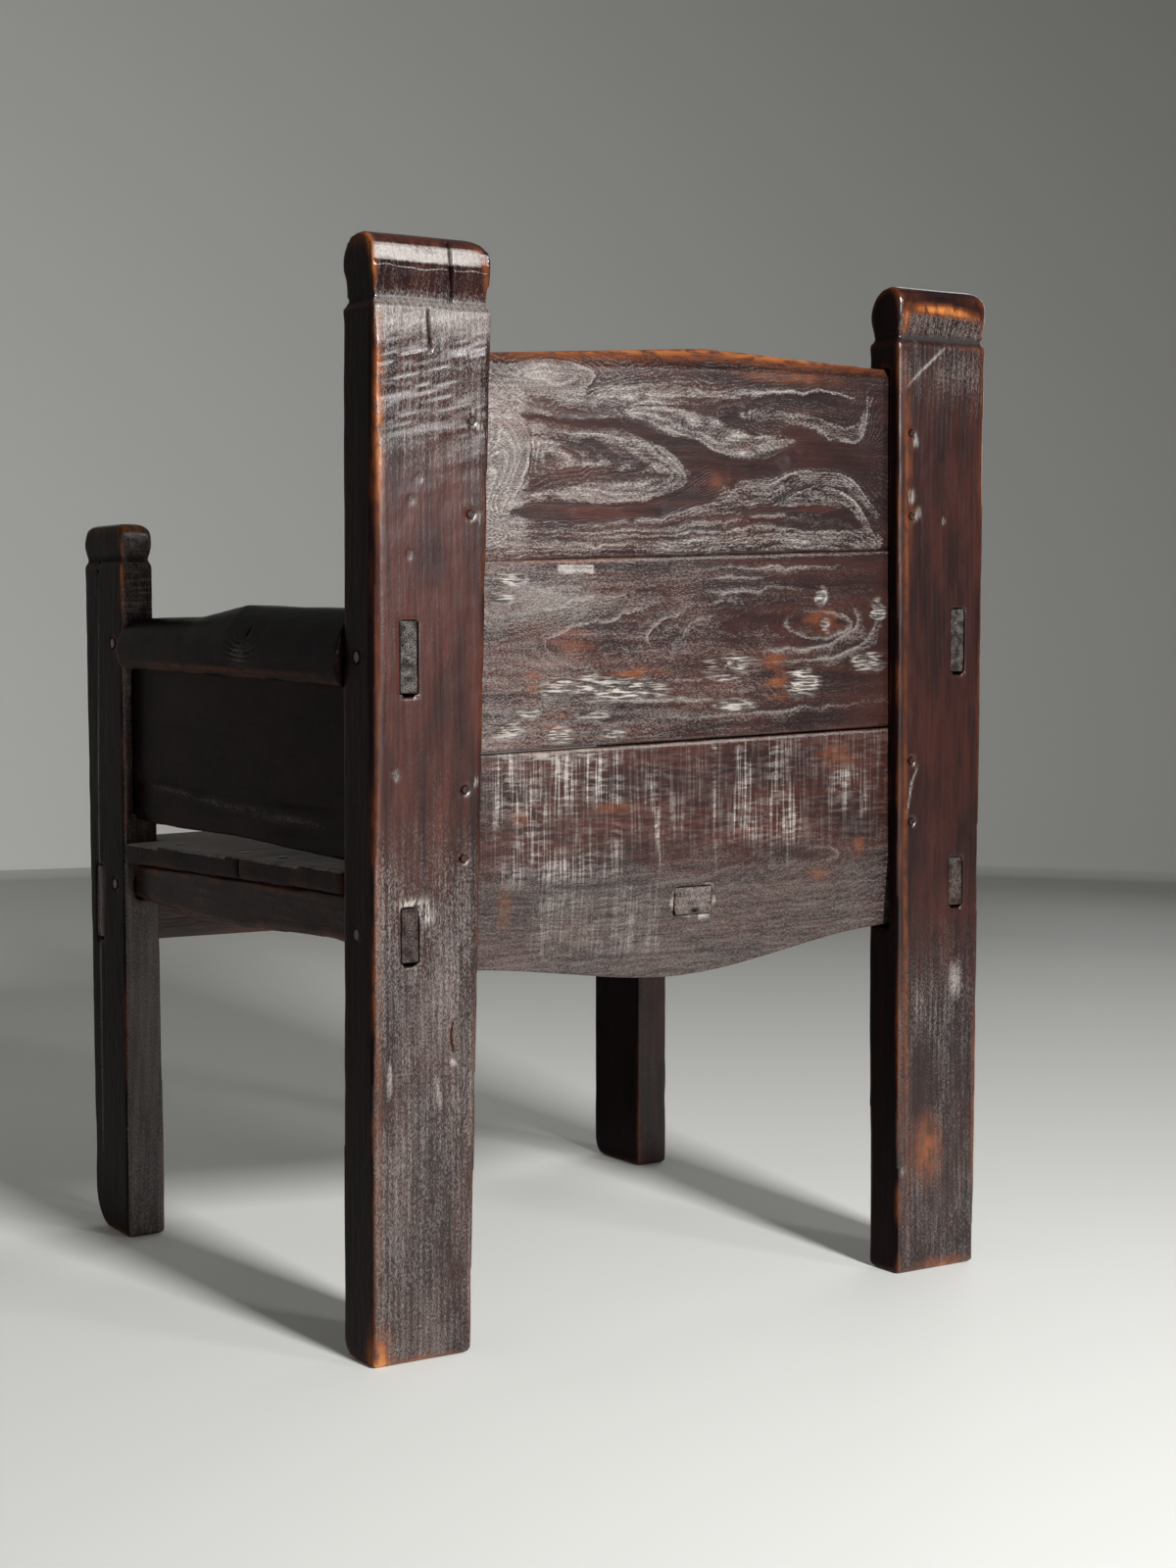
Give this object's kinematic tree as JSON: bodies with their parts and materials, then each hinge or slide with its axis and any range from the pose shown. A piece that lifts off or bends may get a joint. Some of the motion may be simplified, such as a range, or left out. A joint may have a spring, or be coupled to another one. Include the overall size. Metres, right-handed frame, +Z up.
{
  "type": "wainscot chair",
  "caption": "Plank-framed wooden armchair with pegged joints: boarded back, boarded seat, half-log arms over thin side panels, and knob-like heads on the posts.",
  "frame": {"origin": "on the floor, under the middle of the chair's overall box", "axes": "+Z up, +Y towards the chair's back (the sitter faces -Y), +X towards the sitter's left"},
  "size_m": [0.692, 0.646, 0.96],
  "materials": {
    "rear_posts": "worn, dark, burnished oak",
    "front_posts": "worn, dark, burnished oak",
    "back_boards": "worn, dark, burnished oak",
    "arms": "worn, dark, burnished oak",
    "side_panels": "worn, dark, burnished oak",
    "rails": "worn, dark, burnished oak",
    "seat": "worn, dark, burnished oak",
    "pegs": "worn, dark, burnished oak"
  },
  "bodies": {
    "root": {"rear_post_left": "rear_posts", "rear_post_right": "rear_posts", "front_post_left": "front_posts", "front_post_right": "front_posts", "crest_board": "back_boards", "middle_back_board": "back_boards", "lower_back_board": "back_boards", "arm_left": "arms", "arm_right": "arms", "side_panel_left": "side_panels", "side_panel_right": "side_panels", "side_rail_left": "rails", "side_rail_right": "rails", "front_rail": "rails", "seat_bearer": "rails", "seat_board_front": "seat", "seat_board_rear": "seat", "arm_pegs": "pegs", "side_rail_pegs": "pegs", "front_rail_pegs": "pegs", "seat_pegs": "pegs", "back_pins": "pegs"}
  },
  "joints": []
}
